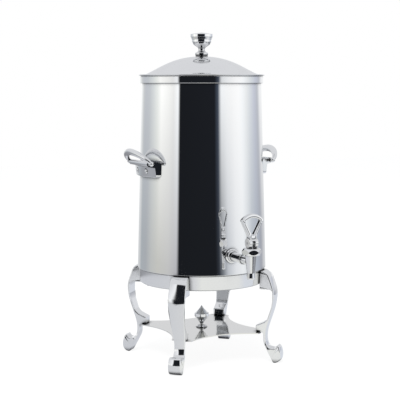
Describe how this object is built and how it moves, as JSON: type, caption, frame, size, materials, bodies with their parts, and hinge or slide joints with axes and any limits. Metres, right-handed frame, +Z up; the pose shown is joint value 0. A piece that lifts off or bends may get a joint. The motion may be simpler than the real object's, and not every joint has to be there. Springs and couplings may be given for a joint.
{
  "type": "coffee urn",
  "caption": "Polished steel coffee urn: tapered insulated drum on four cast cabriole legs, domed lift-off lid with turned knob, hinged side handles and a lever tap.",
  "frame": {"origin": "on the floor, below the middle of the whole outline", "axes": "+Z up, -Y towards the tap, +X and -X towards the side handles"},
  "size_m": [0.3216, 0.3524, 0.6528],
  "materials": {
    "drum_polish": "mirror polished sheet steel",
    "rim_polish": "mirror polished sheet steel",
    "lid_polish": "mirror polished spun steel",
    "band_polish": "mirror polished sheet steel",
    "knob_polish": "polished and plated turning",
    "leg_polish": "polished and plated casting",
    "plate_polish": "mirror polished plate",
    "bracket_polish": "polished and plated casting",
    "handle_polish": "polished and plated casting",
    "tap_polish": "polished and plated brass",
    "screw_polish": "polished screw head",
    "vessel_steel": "satin drawn steel",
    "plain_steel": "plain drawn steel",
    "fastener_steel": "plain turned steel",
    "spring_steel": "drawn spring wire",
    "insulation": "mineral wool",
    "seal_rubber": "moulded rubber"
  },
  "bodies": {
    "urn": {"rim_collar": "rim_polish", "inner_liner": "vessel_steel", "insulation_jacket": "insulation", "insulation_pad": "insulation", "outer_drum": "drum_polish", "base_band": "band_polish", "base_plate": "plain_steel", "base_screws": "fastener_steel", "leg_front_left": "leg_polish", "leg_front_right": "leg_polish", "leg_back_left": "leg_polish", "leg_back_right": "leg_polish", "leg_screws": "fastener_steel", "cross_plate": "plate_polish", "plate_screws": "fastener_steel", "finial": "knob_polish", "finial_nut": "fastener_steel", "bracket_left": "bracket_polish", "bracket_right": "bracket_polish", "bracket_screws": "screw_polish", "bracket_nuts": "fastener_steel", "hinge_pin_left": "handle_polish", "hinge_pin_right": "handle_polish", "tap_flange": "tap_polish", "outer_gasket": "seal_rubber", "inner_gasket": "seal_rubber", "tap_shank": "tap_polish", "shank_nut": "fastener_steel", "coupling_nut": "tap_polish", "tap_body": "tap_polish", "tap_bonnet": "tap_polish", "return_spring": "spring_steel", "stem_ring": "seal_rubber"},
    "lid": {"lid_shell": "lid_polish", "lid_pan": "vessel_steel", "lid_knob": "knob_polish", "knob_screw": "fastener_steel", "knob_washer": "fastener_steel"},
    "handle_left": {"bail_left": "handle_polish"},
    "handle_right": {"bail_right": "handle_polish"},
    "stem": {"tap_stem": "plain_steel", "seat_cup": "seal_rubber", "lever_pin": "fastener_steel"},
    "lever": {"tap_lever": "tap_polish"}
  },
  "joints": [
    {"name": "lid_lift", "type": "slide", "parent": "urn", "child": "lid", "axis": [0, 0, 1], "range_m": [0, 0.12]},
    {"name": "handle_right_swing", "type": "hinge", "parent": "urn", "child": "handle_right", "pos_m": [0.1338, 0.04724, 0.3993], "axis": [0, -1, 0], "range_deg": [-125, 44]},
    {"name": "handle_left_swing", "type": "hinge", "parent": "urn", "child": "handle_left", "pos_m": [-0.1338, 0.04724, 0.3993], "axis": [0, 1, 0], "range_deg": [-125, 44]},
    {"name": "stem_slide", "type": "slide", "parent": "urn", "child": "stem", "axis": [0, 0, 1], "range_m": [0, 0.003], "deforming": ["return_spring"]},
    {"name": "lever_turn", "type": "hinge", "parent": "stem", "child": "lever", "pos_m": [0, -0.15776, 0.2587], "axis": [1, 0, 0], "range_deg": [0, 55], "stiffness_Nm_per_rad": 0.15, "springref_deg": -28.65}
  ],
  "couplings": [
    {"joint": "stem_slide", "follows": "lever_turn", "m_per_rad": 0.003125}
  ]
}
